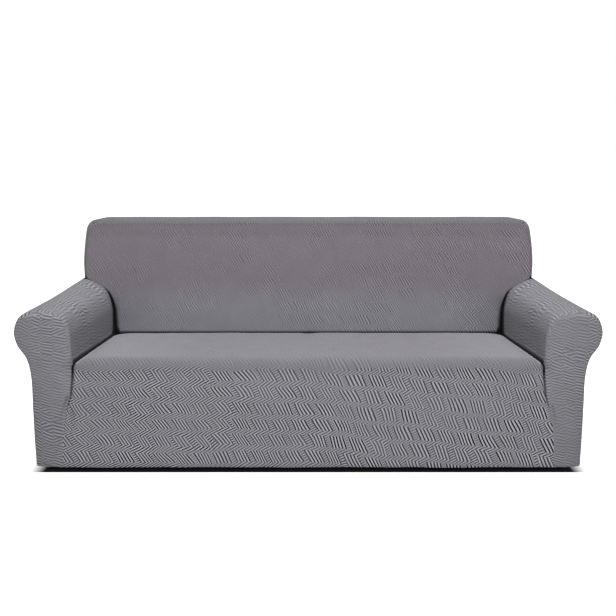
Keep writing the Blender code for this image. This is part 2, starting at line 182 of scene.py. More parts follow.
# ---- unevenness ----
SLACK_FADE = 0.030         # the cloth lies still this near a seam
SLACK_WAVES = ((4.5, 3.0, 1.0), (11.0, 7.0, 0.35))      # scale, seed and share of each kind of wave
SEAM_HALF_WIDTH = 0.0030
SEAM_ROLL = 0.4            # the cloth stands up a little on both sides of a seam
SEAM_ROLL_AT = 0.010
SEAM_ROLL_WIDTH = 0.006
PUCKER_WIDTH = 0.014
PUCKER_NOISE = (55.0, 11.0)     # scale and seed
HEM_NOISE = (9.0, 5.0)
HEM_STRETCH = (1.0, 1.0, 0.35)  # the hem's waves run upwards
HEM_WAVE_HEIGHT = 0.20     # and die out this far up
HEM_FRONT = (0.05, 0.35)   # before this depth they have this share of their size
SEAM_SAMPLES = 6           # points taken along each edge of a seam
FRONT_SEAMS = 0.03         # seams nearer the front than this are the skirt's and the arm fronts'
SKIRT_SIDE = (0.97, 0.43)  # and the skirt's are within this half-width and below this height
SKIRT_DRAWN_IN = (0.12, 1.0, 0.19, 0.31)  # share of the seam's depth at the hem and at the seat, and where
FRONT_DRAWN_IN = 0.06

SHARP = radians(50)        # a crease sharper than this is not shaded smooth
FOLD = radians(20)         # a seam that turns in by more than this lies in a fold
FOLD_REACH = (1.8, 1.0, 0.75)   # its shadow reaches further up the cloth than across it
FOLD_POWER = 11            # how sharply it ends
FOLD_DEPTHS = ((0.62, 0.235, 0.275), (0.38, 0.35, 0.39))   # beside the skirt it grows in two steps
FOLD_BY_SKIRT = (0.15, 0.43)    # the heights between which a seam of the skirt lies in a fold
FOLD_BY_SEAT = (0.38, 0.68)     # and a seam of the seat or the backrest
FOLD_BY_SEAT_Y = 0.02
# half-width of a fold: one size, or the sizes at two places and where those are
FOLD_BESIDE_SEAT = 0.0160
FOLD_BEHIND_SEAT = 0.0215
BEHIND_SEAT_X = 0.86
FOLD_BESIDE_SKIRT = (0.0058, 0.0090, 0.19, 0.39)
FOLD_BESIDE_BACK = (0.0110, 0.0370, 0.67, 0.43)    # widest at the seat
FOLD_TURNS_UP = (0.58, 0.63)    # where the seat's fold becomes the backrest's

# Painted shade for light that the cloth misses, or painted highlight, below 0, where it is paler: the share,
# where it grows from none to all, and the limits that it stays within, by half-width, depth, height or
# distance from the seat's side.
Shade = namedtuple("Shade", "share grows within")
SHADES = (
    # the backrest's rolled top
    Shade(0.30, (("height", 0.86, 0.95),), ()),
    # low on the arms
    Shade(0.10, (("height", 0.42, 0.12), ("across", 0.93, 0.98)), ()),
    # the arms' inside walls
    Shade(0.24, (("height", 0.62, 0.52), ("across", 0.965, 0.935)),
          (("across", 0.87, 2.0), ("depth", 0.02, 0.66), ("height", 0.44, 2.0))),
    # the backrest's face beside the arms
    Shade(0.20, (("across", 0.66, 0.90), ("height", 0.68, 0.56), ("across", 1.02, 0.96)),
          (("depth", 0.60, 0.75),)),
    # the outer thirds of the seat: painted highlight, paler there
    Shade(-0.20, (("across", 0.45, 0.85), ("depth", 0.02, 0.07)),
          (("height", 0.412, 0.46), ("from_side", 0.0105, 2.0), ("depth", -1.0, 0.61))),
)
SEAT_SIDE = (0.920, 0.045)      # half-width of the seat at its front, and how much less it is further back
LIP_SHADE = (0.20, 0.012, 0.423, 0.032)   # painted shade, seat's front edge: share, depth, height, half-width
LIP_ENDS = (0.93, 0.91)
RIM_SHADE = (-0.75, 0.0135, 0.0060)       # painted highlight on the seat's rim: share, distance in and half-width
RIM_FADES = (0.40, 0.15)
RIM_LOW = 0.415
CREASE_SHADE = (120.0, 0.4, 0.85)         # painted shade in the skirt's pulls: share a metre, most, and where

# A soft crease in the cloth: how far it stands out where it starts and where it ends, its half-width,
# and the places that it runs through.
Crease = namedtuple("Crease", "start end width path")
CREASES = (
    # the gap between the two seat cushions under the cloth
    Crease(-0.0035, -0.0015, 0.030,
           ((0.004, 0.604, 0.42), (0.002, 0.45, 0.44), (-0.004, 0.25, 0.44), (0.0, 0.05, 0.44))),
    Crease(0.0015, 0.0020, 0.060, ((0.060, 0.50, 0.44), (0.055, 0.25, 0.44), (0.03, 0.04, 0.44))),
    # slack of the seat's left half
    Crease(0.0016, 0.0004, 0.014, ((-0.62, 0.47, 0.44), (-0.48, 0.485, 0.44), (-0.30, 0.47, 0.44))),
    Crease(-0.0014, -0.0004, 0.012, ((-0.56, 0.435, 0.44), (-0.40, 0.445, 0.44), (-0.20, 0.43, 0.44))),
    Crease(0.0014, 0.0002, 0.013, ((-0.58, 0.375, 0.44), (-0.38, 0.39, 0.44), (-0.16, 0.37, 0.44))),
    # pulls beside the skirt's left seam
    Crease(0.0040, 0.0008, 0.007, ((-0.925, 0.0, 0.285), (-0.936, -0.006, 0.245), (-0.940, -0.006, 0.200))),
    Crease(-0.0040, -0.0006, 0.006, ((-0.935, 0.0, 0.290), (-0.952, -0.006, 0.240), (-0.962, -0.006, 0.200))),
    Crease(0.0030, 0.0004, 0.008,
           ((-0.945, -0.003, 0.300), (-0.968, -0.006, 0.250), (-0.985, -0.006, 0.215))),
    Crease(-0.0030, -0.0004, 0.007, ((-0.915, 0.0, 0.250), (-0.912, -0.006, 0.205), (-0.906, -0.006, 0.170))),
    # and beside its right one
    Crease(0.0028, 0.0004, 0.008, ((0.928, 0.0, 0.270), (0.938, -0.006, 0.225), (0.937, -0.006, 0.150))),
    Crease(-0.0024, -0.0004, 0.007, ((0.944, 0.0, 0.260), (0.956, -0.006, 0.215), (0.958, -0.006, 0.165))),
)


# ---- curves ----
def mix(start, end, share):
    return start + (end - start) * share


def clamp(value, low=0.0, high=1.0):
    return min(max(value, low), high)


def smooth(share):
    share = clamp(share)
    return share * share * (3 - 2 * share)


def eased(value, start, whole):
    """0 where a stretch starts, 1 where it ends, and a soft step between."""
    return smooth((value - start) / (whole - start))


def ramp(values, start, whole):
    """The same with a straight slope between."""
    return np.clip((values - start) / (whole - start), 0.0, 1.0)


def hump(distances, width):
    """1 at no distance, and less and less on both sides."""
    return np.exp(-(distances / width) ** 2)


def rise(share):
    """A quarter of a soft hump, level at 1."""
    share = clamp(share)
    return share * (2 - share)


def spline(rows, place):
    """A smooth curve through a table's rows, read at a place counted in rows."""
    index = min(int(place), len(rows) - 2)
    share = place - index
    before, start, end, after = (rows[min(max(index + step, 0), len(rows) - 1)] for step in (-1, 0, 1, 2))
    values = []
    for a, b, c, d in zip(before, start, end, after):
        bend = 2 * a - 5 * b + 4 * c - d + (3 * b - a - 3 * c + d) * share
        values.append(b + 0.5 * share * (c - a + share * bend))
    return values


def read(rows, at):
    """The same curve, read at a value of the table's first column."""
    keys = [row[0] for row in rows]
    index = int(clamp(bisect(keys, at) - 1, 0, len(rows) - 2))
    place = index + (at - keys[index]) / (keys[index + 1] - keys[index])
    return spline(rows, clamp(place, 0, len(rows) - 1))


def graded(length, first=(0.0,), last=(0.0,)):
    """Shares of a length: close together beside a seam, and evenly spaced between."""
    middle = length - first[-1] - last[-1]
    count = max(1, round(middle / STEP))
    places = list(first)
    places += [first[-1] + middle * step / count for step in range(1, count)]
    places += [length - place for place in reversed(last)]
    return [place / length for place in places]


def edge_depth(offset, slot=0.0):
    """Share of a tuck's depth at a distance from its seam: a soft round edge, or a steep slot."""
    soft = max(0.0, 1 - offset / EDGE_RUN)
    steep = SLOT_SHARE * (1 - min(1.0, offset / SLOT_RUN) ** SLOT_POWER)
    steep += (1 - SLOT_SHARE) * soft ** SLOT_EDGE_POWER
    return mix(soft ** EDGE_POWER, steep, slot)


def back_face_y(z):
    """The face of the backrest leans back, and rolls over at its top."""
    roll = max(0.0, z - BACK_ROLL_Z)
    return BACK_FOOT_Y + BACK_LEAN * max(0.0, z - SEAT_Z) + BACK_ROLL * roll * roll


# ---- places on the cover ----
# A column of the cloth across the sofa: share of the half-width, and distance from the side seam.
Column = namedtuple("Column", "share offset")
SIDE_SEAM = Column(1.0, 0.0)
BACK_SHARES = graded(ARM_DEPTH, FINE, FINE)             # 0 at the arm's front, 1 at the backrest
UPPER_SHARES = graded(UPPER_ARM, FINE)                  # 0 at the seat, 1 at the arm's crest
DOWN_SHARES = graded(SKIRT_DROP) + [1 + step / HEM_STEPS for step in range(1, HEM_STEPS + 1)]
SIDE_SHARES = graded(BACK_SIDE, (0.0,), FINE)           # 0 at the arm's crest, 1 at the top corner
BAND_SHARES = graded(BAND_WIDTH, FINE, FINE)            # 0 at the face, 1 at the rear
FRONT_SHARES = graded(ARM_FRONT_WIDTH, FINE, FINE)      # 0 at the skirt, 1 at the arm's outside


def middle_columns():
    steps = [2 * step / MIDDLE_COLUMNS - 1 for step in range(MIDDLE_COLUMNS + 1)]
    return [Column(step * (1 + MIDDLE_EASE - MIDDLE_EASE * step * step), EDGE_RUN) for step in steps]


LEFT_COLUMNS = [Column(-1.0, offset) for offset in FINE[:-1]]
RIGHT_COLUMNS = [Column(1.0, offset) for offset in reversed(FINE[:-1])]
COLUMNS = LEFT_COLUMNS + middle_columns() + RIGHT_COLUMNS


def column_x(column, half, spread):
    edge = (EDGE_RUN - column.offset) * spread
    return column.share * (half - EDGE_RUN * spread) + copysign(edge, column.share)


# ---- the seat and its skirt ----
def sunk_edge(x, half, share, depth, seam_depth):
    """How deep the cloth lies near its side seam, with the soft shoulder before it drops steeply."""
    shoulder = mix(SHOULDER_FRONT, SHOULDER_REAR, share) * max(0.0, 1 - (half - abs(x)) / SHOULDER_RUN) ** 2
    return shoulder + (1 - shoulder / seam_depth) * depth


def seat_section(share, across):
    """Place and outward normal of the seat's cloth, seen from the side."""
    if share < LIP_SHARE:
        angle = LIP_ANGLE * (1 - share / LIP_SHARE) ** LIP_EASE
        normal = Vector((-sin(angle), cos(angle)))
        place = Vector((LIP_RADIUS, SEAT_Z - LIP_RADIUS)) + normal * LIP_RADIUS
    else:
        normal = Vector((0.0, 1.0))
        place = Vector((mix(LIP_RADIUS, BACK_FOOT_Y, (share - LIP_SHARE) / (1 - LIP_SHARE)), SEAT_Z))
    crown = SEAT_CROWN * (1 - abs(across) ** CROWN_POWER) * (1 - abs(2 * share - 1) ** CROWN_POWER)
    return place + normal * crown, normal


def seat_point(share, column):
    half = mix(ARM_ROWS[0].front_x, ARM_ROWS[0].rear_x, share)
    from_rear = (1 - share) * ARM_DEPTH
    near_rear = max(0.0, 1 - from_rear / REAR_RUN)
    x = column_x(column, half, 1 + (BACK_EDGE_FOOT - 1) * near_rear ** 2)
    place, normal = seat_section(share, x / half)
    beside = edge_depth(column.offset, 1.0)
    behind = edge_depth(from_rear * EDGE_RUN / REAR_RUN, 1.0)
    depth = TUCK * (1 - (1 - beside) * (1 - behind))
    place -= normal * sunk_edge(x, half, share, depth, TUCK)
    into_gap = BACK_TUCK * beside * max(0.0, 1 - from_rear / CORNER_RUN) ** 2
    return Vector((x, place.x + into_gap, place.y))


def skirt_point(down, column):
    """From the seat's front edge, 0, down to the hem's fold, 1, and round it, 2."""
    lip = SEAT_Z - LIP_RADIUS
    z = mix(lip + LIP_RADIUS * cos(LIP_ANGLE), HEM_TOP_Z, min(down, 1.0))
    turn = 0.0
    _, half, tuck = read(SKIRT_ROWS, z)
    normal = Vector((-1.0, 0.0))
    if down > 1:
        _, turn, z = read(HEM_ROWS, down - 1)
        tuck *= 2 - down
    if z > lip:
        up = (z - lip) / LIP_RADIUS
        normal = Vector((-(1 - up * up) ** 0.5, up))
        place = Vector((LIP_RADIUS, lip)) + normal * LIP_RADIUS
    else:
        place = Vector((FRONT_Y * smooth((lip - z) / SKIRT_BULGE_RUN), z))
    x = column_x(column, half, 1.0)
    depth = tuck * edge_depth(column.offset, min(1.0, tuck / TUCK))
    place -= normal * mix(depth, sunk_edge(x, half, 0.0, depth, TUCK), eased(z, *SKIRT_SHOULDER))
    return Vector((x, place.x + turn, place.y))


# ---- the arm ----
def hem_turn(row):
    return read(HEM_ROWS, row - HEM_ROW)[1] if row > HEM_ROW else 0.0


def arm_outline(row, share):
    """Half-width and height of the arm on a row, between its front and the backrest."""
    table = spline(ARM_ROWS, min(row, HEM_ROW))
    x, z = mix(table[0], table[2], share), mix(table[1], table[3], share)
    if row > HEM_ROW:
        x -= hem_turn(row) * ARM_HEM_TURN
        z = read(HEM_ROWS, row - HEM_ROW)[2]
    return Vector((x, z))


def arm_drawn_in(row, share, inset):
    """The same outline, drawn in square to itself."""
    point = arm_outline(row, share)
    if inset == 0:
        return point
    after, before = min(row + ROW_STEP, HEM_ROW + 1), max(row - ROW_STEP, 0)
    tangent = arm_outline(after, share) - arm_outline(before, share)
    outward = Vector((-tangent.y, tangent.x)).normalized()
    fade = clamp((HEM_ROW + 1 - row) / 2) * clamp(row)
    return point - outward * inset * fade


def rear_tuck(row):
    """Depth of the gap between the arm and the backrest, deepest at the seat."""
    return mix(BACK_TUCK, BACK_ROUND, min(row / CREST, 1.0))


def arm_point(row, share):
    """A point of the arm's cloth; from share 1 to 2 it runs on beside the backrest."""
    rear_y = back_face_y(arm_outline(min(row, CREST), 1.0).y) + rear_tuck(row)
    if share > 1:
        return arm_beside_back(row, share - 1, rear_y)
    inset = ARM_EDGE_INSET * max(0.0, 1 - share * ARM_DEPTH / ARM_EDGE_RUN) ** ARM_EDGE_POWER
    point = arm_drawn_in(row, share, inset)
    place = Vector((point.x, mix(FRONT_SEAM_Y + hem_turn(row), rear_y, share), point.y))
    if row < FOOT_ROWS:
        foot = arm_outline(0, share)
        bare = Vector((foot.x, mix(FRONT_SEAM_Y, back_face_y(SEAT_Z) + BACK_TUCK, share), foot.y))
        place += (seat_point(share, SIDE_SEAM) - bare) * (1 - row / FOOT_ROWS) ** 2
    return place


def arm_beside_back(row, beside, rear_y):
    inset = REAR_INSET * end_inset(beside) if beside > 0.5 else 0.0
    point = arm_drawn_in(row, 1.0, inset)
    place = Vector((point.x, mix(rear_y, REAR_SEAM_Y - hem_turn(row), beside), point.y))
    if row < CREST + FOOT_ROWS:
        crest = arm_drawn_in(CREST, 1.0, inset)
        bare = Vector((crest.x, place.y, crest.y))
        place += (end_point(0, beside) - bare) * (1 - (row - CREST) / FOOT_ROWS) ** 2
    return place


# ---- the backrest ----
def end_inset(share):
    """How far the band is drawn in to the seams on both sides of it."""
    return (1 - 2 * min(share, 1 - share)) ** CAP_POWER


def back_point(row, column):
    """A point of the backrest's face: row CREST meets the arm's crest, and CAP_ROWS more the top seam."""
    if row <= CREST:
        half, edge_z = arm_outline(row, 1.0)
        middle_z = mix(SEAT_Z - TUCK, CAP_SIDE[0].seam_z, row / CREST)
        spread = mix(BACK_EDGE_FOOT, 1.0, row / CREST)
    else:
        _, _, half, edge_z = spline(CAP_SIDE, row - CREST)
        share = (row - CREST) / CAP_ROWS
        middle_z = edge_z + (BACK_TOP_Z - CAP_DROP - CAP_SIDE[-1].seam_z) * share
        spread = 1.0 + share
    x = column_x(column, half, spread)
    z = mix(edge_z, middle_z, rise((half - abs(x)) / CAP_CORNER))
    slot = clamp(CREST + 0.5 - row)
    return Vector((x, back_face_y(z) + rear_tuck(row) * edge_depth(column.offset, slot), z))


def end_point(index, share):
    """The backrest's right end, from the arm's crest up to the top corner."""
    seam = back_point(CREST + index, SIDE_SEAM)
    full = spline(CAP_SIDE, index)
    inset = end_inset(share)
    return Vector((mix(full[0], seam.x, inset), mix(seam.y, REAR_SEAM_Y, share), mix(full[1], seam.z, inset)))


def band_point(share, column):
    """The band over the backrest's top."""
    seam = back_point(CREST + CAP_ROWS, column)
    corner = CAP_SIDE[-1]
    height = rise((corner.seam_x - abs(seam.x)) / CAP_CORNER)
    full_x = seam.x * mix(corner.x / corner.seam_x, 1.0, height)
    full_z = mix(corner.z, BACK_TOP_Z, height)
    inset = end_inset(share)
    return Vector((mix(full_x, seam.x, inset), mix(seam.y, REAR_SEAM_Y, share), mix(full_z, seam.z, inset)))


def rear_point(drop, column):
    """The rear, from its top seam, -5, past the height of the arm's crest, 0, down round the hem, 9."""
    turn = 0.0
    if drop <= 0:
        z = back_point(CREST - drop, column).z
        half = spline(CAP_SIDE, -drop)[2]
    else:
        corner = arm_point(CREST + drop, 2.0)
        half, z, turn = corner.x, corner.z, REAR_SEAM_Y - corner.y
    from_top = (CAP_ROWS + drop) / CAP_ROWS * BACK_SIDE / REAR_TOP_RUN
    stand = (REAR_Y - REAR_SEAM_Y) * (1 - edge_depth(column.offset))
    stand *= (1 - (1 - clamp(from_top)) ** REAR_TOP_POWER)
    return Vector((column_x(column, half, REAR_SPREAD), REAR_SEAM_Y + stand - turn, z))


# ---- the panels as grids of points ----
def outer_row(down):
    """The arm's row at a share of the way down its outside: 0 the neck, 1 the hem's fold, 2 its edge."""
    return NECK + (HEM_ROW - NECK) * min(down, 1.0) + max(down - 1.0, 0.0)


WALL_ROWS = [CREST * share for share in UPPER_SHARES]
OUTER_ROWS = [NECK - (NECK - CREST) * share for share in reversed(UPPER_SHARES)]
OUTER_ROWS += [outer_row(down) for down in DOWN_SHARES[1:]]
SIDE_ROWS = [CAP_ROWS * share for share in SIDE_SHARES]


def seat_and_skirt_grid():
    rows = [[seat_point(share, column) for column in COLUMNS] for share in reversed(BACK_SHARES)]
    return rows + [[skirt_point(down, column) for column in COLUMNS] for down in DOWN_SHARES[1:]]


def inside_back_grid():
    rows = WALL_ROWS + [CREST + row for row in SIDE_ROWS[1:]]
    return [[back_point(row, column) for column in COLUMNS] for row in rows]


def back_band_grid():
    return [[band_point(share, column) for column in COLUMNS] for share in BAND_SHARES]


def back_end_grid():
    return [[end_point(row, share) for share in BAND_SHARES] for row in SIDE_ROWS]


def outside_back_grid():
    drops = [-row for row in reversed(SIDE_ROWS)] + [row - CREST for row in OUTER_ROWS[1:]]
    return [[rear_point(drop, column) for column in COLUMNS] for drop in drops]


def arm_grids():
    """The arm's cloth up to the backrest, and its outer half from there to the rear."""
    rows = WALL_ROWS + OUTER_ROWS[1:]
    beside_arm = [[arm_point(row, share) for share in BACK_SHARES] for row in rows]
    beside_back = [[arm_point(row, 1 + share) for share in BAND_SHARES] for row in OUTER_ROWS]
    return beside_arm, beside_back


def arm_front_grid():
    """Rungs from the skirt's seam across to the arm's outside, from the crest down to the hem."""
    ends = [(arm_point(wall, 0.0), arm_point(outside, 0.0), 0.0)
            for wall, outside in zip(reversed(WALL_ROWS), OUTER_ROWS)]
    for down in DOWN_SHARES[1:]:
        row = outer_row(down)
        ends.append((skirt_point(down, SIDE_SEAM), arm_point(row, 0.0), hem_turn(row)))
    return [arm_front_rung(*end) for end in ends]


def arm_front_rung(inner, outer, turn):
    rung = []
    width = (outer - inner).length
    for share in FRONT_SHARES:
        from_inner = max(0.0, 1 - share * width / FRONT_RUN) ** FRONT_POWER
        from_outer = max(0.0, 1 - (1 - share) * width / FRONT_RUN) ** FRONT_POWER
        place = inner.lerp(outer, share)
        place.y = mix(FRONT_Y + turn, place.y, 1 - (1 - from_inner) * (1 - from_outer))
        rung.append(place)
    return rung


# ---- sewing the cover ----
PANELS = ("seat_and_skirt", "inside_back", "back_band", "back_end_right", "back_end_left", "outside_back",
          "arm_panel_right", "arm_panel_left", "arm_front_right", "arm_front_left")
KNIT_UV = "knit"           # where the cloth lies in the knitted length, in metres
BAKE_UV = "OFBake"         # the same laid out side by side, from 0 to 1
SHADOW = "fold_shadow"     # share of the light lost there, painted in as shade, below 0 where a painted highlight makes the cloth paler
BAKE_OUTER = 0.87          # the outer face's share of that height
BAKE_RIM = (0.873, 0.877)
BAKE_INNER = 0.88
WHOLE = (0.0, 1.0, 0.0, 1.0)    # a panel's part of its own layout: from left to right and upwards
ARM_PART = 0.74            # the arm up to the backrest takes this much of it
ARM_REAR_PART = 0.76       # and the rest starts here


def run_lengths(points):
    """How far along a line each of its points lies."""
    total = [0.0]
    for start, end in zip(points, points[1:]):
        total.append(total[-1] + (end - start).length)
    return total


def knit_across(rows):
    """The knitted length runs across the sofa, and its courses up and down."""
    middle = len(rows[0]) // 2
    heights = run_lengths([row[middle] for row in rows])
    return [[(place.x, -height) for place in row] for row, height in zip(rows, heights)]


def knit_upright(rows, across, up):
    return [[(place[across], place[up]) for place in row] for row in rows]


def knit_over_arm(rows, start):
    heights = run_lengths([row[0] for row in rows])
    return [[(start + height, place.y) for place in row] for row, height in zip(rows, heights)]


def lay_grid(cover, panel, rows, knit, part=WHOLE):
    """A grid of cloth, laid point by point on its shape."""
    knit_layer, bake_layer = (cover.loops.layers.uv[name] for name in (KNIT_UV, BAKE_UV))
    verts = [[cover.verts.new(place) for place in row] for row in rows]
    last_row, last_column = len(rows) - 1, len(rows[0]) - 1
    for row in range(last_row):
        for column in range(last_column):
            corners = ((row, column), (row, column + 1), (row + 1, column + 1), (row + 1, column))
            face = cover.faces.new([verts[down][across] for down, across in corners])
            face.material_index = PANELS.index(panel)
            for loop, (down, across) in zip(face.loops, corners):
                loop[knit_layer].uv = knit[down][across]
                loop[bake_layer].uv = (mix(part[0], part[1], across / last_column),
                                       mix(part[2], part[3], down / last_row) * BAKE_OUTER)


def mirrored(rows):
    return [[Vector((-place.x, place.y, place.z)) for place in row] for row in rows]


def bare_cover():
    """The outer surface of the whole cover, smooth, each face marked with its panel."""
    cover = bmesh.new()
    for name in (KNIT_UV, BAKE_UV):
        cover.loops.layers.uv.new(name)
    for panel, rows in (("seat_and_skirt", seat_and_skirt_grid()), ("inside_back", inside_back_grid()),
                        ("back_band", back_band_grid()), ("outside_back", outside_back_grid())):
        lay_grid(cover, panel, rows, knit_across(rows))
    beside_arm, beside_back = arm_grids()
    over = knit_over_arm(beside_arm, 0.0)
    outer_knit = knit_over_arm(beside_back, over[len(WALL_ROWS) - 1][0][0])
    low = 1 - len(OUTER_ROWS) / (len(WALL_ROWS) + len(OUTER_ROWS))
    back_end, arm_front = back_end_grid(), arm_front_grid()
    for side, turn in (("right", list), ("left", mirrored)):
        lay_grid(cover, f"arm_panel_{side}", turn(beside_arm), over, (0.0, ARM_PART, 0.0, 1.0))
        lay_grid(cover, f"arm_panel_{side}", turn(beside_back), outer_knit, (ARM_REAR_PART, 1.0, low, 1.0))
        rows = turn(back_end)
        lay_grid(cover, f"back_end_{side}", rows, knit_upright(rows, 1, 2))
        rows = turn(arm_front)
        lay_grid(cover, f"arm_front_{side}", rows, knit_upright(rows, 2, 0))
    bmesh.ops.remove_doubles(cover, verts=cover.verts, dist=SAME_POINT)
    bmesh.ops.recalc_face_normals(cover, faces=cover.faces)
    highest = max(cover.faces, key=lambda face: face.calc_center_median().z)
    if highest.normal.z < 0:
        bmesh.ops.reverse_faces(cover, faces=cover.faces)
    cover.normal_update()
    return cover


def seam_edges(cover):
    return [edge for edge in cover.edges
            if len({face.material_index for face in edge.link_faces}) > 1]


def nearest_samples(places, points):
    """The distance from each point to the nearest of some places, and which one that is."""
    tree = KDTree(len(places))
    for number, place in enumerate(places):
        tree.insert(place, number)
    tree.balance()
    found = [tree.find(point) for point in points]
    return np.array([gap for _, _, gap in found]), np.array([number for _, number, _ in found])


def seam_samples(edges):
    places = []
    for edge in edges:
        start, end = (vert.co for vert in edge.verts)
        places += [start.lerp(end, step / SEAM_SAMPLES) for step in range(SEAM_SAMPLES)]
    return places


def seam_strength(place):
    """The seam beside the skirt is drawn in less and less towards the hem, and others there hardly at all."""
    if place.y >= FRONT_SEAMS:
        return 1.0
    if abs(place.x) < SKIRT_SIDE[0] and place.z < SKIRT_SIDE[1]:
        low, high, start, whole = SKIRT_DRAWN_IN
        return mix(low, high, eased(place.z, start, whole))
    return FRONT_DRAWN_IN


def between_sizes(sizes, value):
    first, last, start, end = sizes
    return mix(first, last, clamp((value - start) / (end - start)))


def fold_width(place):
    """Half-width of the part of a fold that no light reaches."""
    if abs(place.x) < BEHIND_SEAT_X:
        return FOLD_BEHIND_SEAT
    if place.y < FRONT_SEAMS:
        return between_sizes(FOLD_BESIDE_SKIRT, place.z)
    return mix(FOLD_BESIDE_SEAT, between_sizes(FOLD_BESIDE_BACK, place.z), eased(place.y, *FOLD_TURNS_UP))


def fold_depth(height):
    """Share of the light lost in a fold: beside the skirt it grows shallow, and ends above the hem."""
    return sum(share * eased(height, low, high) for share, low, high in FOLD_DEPTHS)


def in_fold(place):
    """Whether a place on a seam is beside the seat, the skirt or the lower backrest."""
    by_skirt = place.y < FRONT_SEAMS and FOLD_BY_SKIRT[0] < place.z < FOLD_BY_SKIRT[1]
    return by_skirt or (place.y > FOLD_BY_SEAT_Y and FOLD_BY_SEAT[0] < place.z < FOLD_BY_SEAT[1])


def fold_shadow(cover, points):
    """Share of the light that is lost in the folds around the seat and beside the backrest."""
    folded = [edge for edge in seam_edges(cover) if edge.calc_face_angle_signed() < -FOLD]
    places = [place for place in seam_samples(folded) if in_fold(place)]
    gaps, numbers = nearest_samples(np.array(places) * FOLD_REACH, points * FOLD_REACH)
    widths = np.array([fold_width(place) for place in places])[numbers]
    depths = np.array([fold_depth(place.z) for place in places])[numbers]
    return depths * np.exp(-(gaps / widths) ** FOLD_POWER)


def half_shadow(points):
    """Painted shade: the light missed where the cloth turns from the lamps; below 0 a painted highlight."""
    across, depth, height = np.abs(points[:, 0]), points[:, 1], points[:, 2]
    from_side = SEAT_SIDE[0] - SEAT_SIDE[1] * depth - across
    place = {"across": across, "depth": depth, "height": height, "from_side": from_side}
    share, at_depth, at_height, width = LIP_SHADE
    shade = share * hump(np.hypot(depth - at_depth, height - at_height), width) * ramp(across, *LIP_ENDS)
    share, inwards, width = RIM_SHADE
    shade += share * hump(from_side - inwards, width) * (height > RIM_LOW) * ramp(depth, *RIM_FADES)
    a_metre, most, beside = CREASE_SHADE
    shade += np.clip(-creases(points) * a_metre, 0.0, most) * (across > beside)
    for share, grows, within in SHADES:
        part = np.full(len(points), share)
        for axis, start, whole in grows:
            part *= ramp(place[axis], start, whole)
        for axis, low, high in within:
            part *= (place[axis] > low) * (place[axis] < high)
        shade += part
    return shade


def noise_at(points, scale, seed):
    """Soft unevenness between about -1 and 1."""
    offset = Vector((seed, 2 * seed, -seed))
    return np.array([noise.noise(Vector(point) * scale + offset) for point in points])


def crease_lift(points, crease):
    """How far one crease lifts each point."""
    path = np.array(crease.path)
    ways = np.diff(path, axis=0)
    runs = np.linalg.norm(ways, axis=1)
    nearest = np.full(len(points), np.inf)
    share = np.zeros(len(points))
    for start, way, run, before in zip(path, ways, runs, np.cumsum(runs) - runs):
        along = np.clip((points - start) @ way / run ** 2, 0.0, 1.0)
        gap = np.linalg.norm(points - start - along[:, None] * way, axis=1)
        share = np.where(gap < nearest, (before + along * run) / runs.sum(), share)
        nearest = np.minimum(gap, nearest)
    return mix(crease.start, crease.end, share) * hump(nearest, crease.width)


def creases(points):
    return sum(crease_lift(points, crease) for crease in CREASES)


def unevenness(cover, points):
    """How far the cloth stands out from its smooth shape at each point."""
    cloth = bpy.context.scene.slipcover_cloth
    places = seam_samples(seam_edges(cover))
    seam, numbers = nearest_samples(places, points)
    strength = np.array([seam_strength(place) for place in places])[numbers]
    drawn_in = strength * cloth.seam_depth
    slack = 1 - hump(seam, SLACK_FADE)
    waves = sum(share * noise_at(points, scale, seed) for scale, seed, share in SLACK_WAVES)
    lift = slack * cloth.slack * waves
    lift -= drawn_in * hump(seam, SEAM_HALF_WIDTH)
    lift += SEAM_ROLL * drawn_in * hump(seam - SEAM_ROLL_AT, SEAM_ROLL_WIDTH)
    lift += strength * cloth.pucker * hump(seam, PUCKER_WIDTH) * noise_at(points, *PUCKER_NOISE)
    low = np.clip(1 - (points[:, 2] - HEM_TOP_Z) / HEM_WAVE_HEIGHT, 0.0, 1.0)
    size = np.where(points[:, 1] < HEM_FRONT[0], HEM_FRONT[1], 1.0)
    lift += cloth.hem_wave * low ** 2 * size * slack * noise_at(points * HEM_STRETCH, *HEM_NOISE)
    return lift + creases(points)


@lru_cache(maxsize=None)
def sewn_cover():
    """The whole cover with its seams, slack and creases, in its place."""
    cover = bare_cover()
    points = np.array([vert.co[:] for vert in cover.verts])
    lift = unevenness(cover, points)
    # painted shade from the folds and the lamps, and below 0 a painted highlight, kept on each point
    shadow = 1 - (1 - fold_shadow(cover, points)) * (1 - half_shadow(points))
    shadow_layer = cover.verts.layers.float.new(SHADOW)
    for vert, height, lost in zip(cover.verts, lift, shadow):
        vert.co += vert.normal * float(height)
        vert[shadow_layer] = float(lost)
    bmesh.ops.translate(cover, verts=cover.verts, vec=-ORIGIN)
    cover.normal_update()
    cover.verts.index_update()
    return cover


